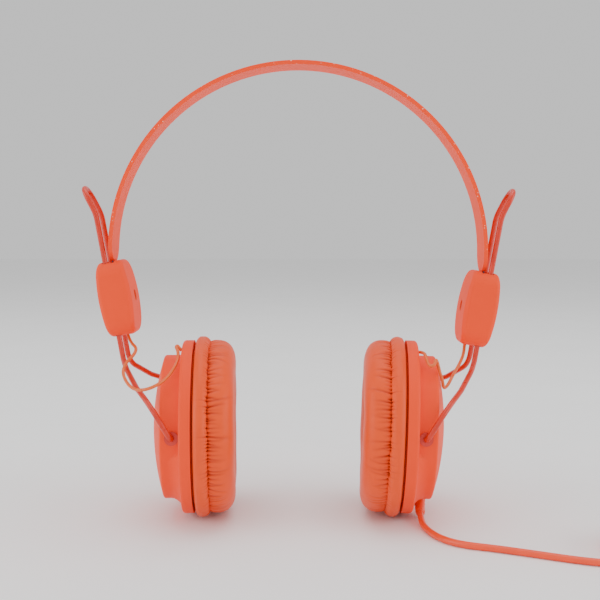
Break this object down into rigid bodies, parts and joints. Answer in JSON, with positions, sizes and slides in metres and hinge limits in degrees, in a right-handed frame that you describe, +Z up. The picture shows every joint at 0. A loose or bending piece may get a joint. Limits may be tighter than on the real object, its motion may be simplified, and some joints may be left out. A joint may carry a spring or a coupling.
{
  "type": "on-ear headphones",
  "caption": "Wired on-ear headphones: sprung headband, leaning sliders, bent wire yokes and round cups with gathered cushions; standing on the cushion rims, cable coiled beside.",
  "frame": {"origin": "on the ground under the middle of the headphones, midway between the cups, measured without the cable", "axes": "+X from the left cup to the right cup, -Y towards the front where the cable leaves, +Z up"},
  "size_m": [0.2227, 0.0986, 0.1701],
  "materials": {
    "soft_touch_plastic": "fine matt moulded",
    "band_coating": "matt rubberised coating",
    "cushion_leatherette": "gathered leatherette, low sheen",
    "foam": "open-cell foam",
    "inner_plastic": "moulded ABS",
    "scrim_cloth": "knitted acoustic cloth",
    "driver_film": "thermoformed polyester film",
    "magnet_steel": "nickel plated",
    "screw_steel": "zinc plated",
    "bush_plastic": "moulded acetal",
    "friction_rubber": "moulded silicone",
    "coated_wire": "semi-gloss powder coat",
    "lead_jacket": "satin flexible PVC",
    "spring_steel": "blued spring steel",
    "circuit_board": "solder-masked laminate",
    "cable_jacket": "satin flexible PVC",
    "tie_strap": "woven hook-and-loop strap",
    "plug_plastic": "moulded PVC",
    "jack_metal": "gold flashed, polished"
  },
  "bodies": {
    "right_cup": {"right_cushion_cover": "cushion_leatherette", "right_cushion_foam": "foam", "right_cushion_ring": "inner_plastic", "right_ear_scrim": "scrim_cloth", "right_baffle_plate": "soft_touch_plastic", "right_driver_grille": "inner_plastic", "right_driver_diaphragm": "driver_film", "right_driver_basket": "inner_plastic", "right_driver_magnet": "magnet_steel", "right_cup_screws": "screw_steel", "right_rear_housing": "soft_touch_plastic", "right_pivot_bushes": "bush_plastic", "right_signal_lead": "lead_jacket", "terminal_board": "circuit_board", "strain_relief": "cable_jacket", "main_cable": "cable_jacket", "cable_coil": "cable_jacket", "cable_tail": "cable_jacket", "cable_tie": "tie_strap", "plug_body": "plug_plastic", "jack_contacts": "jack_metal"},
    "right_yoke": {"right_yoke_wire": "coated_wire"},
    "headband": {"headband_cover": "band_coating", "headband_spring": "spring_steel", "crossover_wires": "lead_jacket", "left_slider_outer_shell": "soft_touch_plastic", "left_slider_inner_shell": "soft_touch_plastic", "left_slider_screw": "screw_steel", "left_slider_friction_pad": "friction_rubber", "right_slider_outer_shell": "soft_touch_plastic", "right_slider_inner_shell": "soft_touch_plastic", "right_slider_screw": "screw_steel", "right_slider_friction_pad": "friction_rubber"},
    "left_yoke": {"left_yoke_wire": "coated_wire"},
    "left_cup": {"left_cushion_cover": "cushion_leatherette", "left_cushion_foam": "foam", "left_cushion_ring": "inner_plastic", "left_ear_scrim": "scrim_cloth", "left_baffle_plate": "soft_touch_plastic", "left_driver_grille": "inner_plastic", "left_driver_diaphragm": "driver_film", "left_driver_basket": "inner_plastic", "left_driver_magnet": "magnet_steel", "left_cup_screws": "screw_steel", "left_rear_housing": "soft_touch_plastic", "left_pivot_bushes": "bush_plastic", "left_signal_lead": "lead_jacket"}
  },
  "joints": [
    {"name": "right_cup_tilt", "type": "hinge", "parent": "right_cup", "child": "right_yoke", "pos_m": [0.04603, -0.00014, 0.03471], "axis": [0.0523, 0.9986, 0], "range_deg": [-12, 12]},
    {"name": "right_size_slide", "type": "slide", "parent": "right_yoke", "child": "headband", "axis": [0.1719, 0, 0.9851], "range_m": [-0.005, 0.02], "deforming": ["right_signal_lead"]},
    {"name": "left_size_slide", "type": "slide", "parent": "headband", "child": "left_yoke", "axis": [0.1719, 0, -0.9851], "range_m": [-0.008, 0.017], "deforming": ["left_signal_lead"]},
    {"name": "left_cup_tilt", "type": "hinge", "parent": "left_yoke", "child": "left_cup", "pos_m": [-0.0469, -0.00014, 0.035], "axis": [0.0523, -0.9986, 0], "range_deg": [-12, 12]}
  ]
}
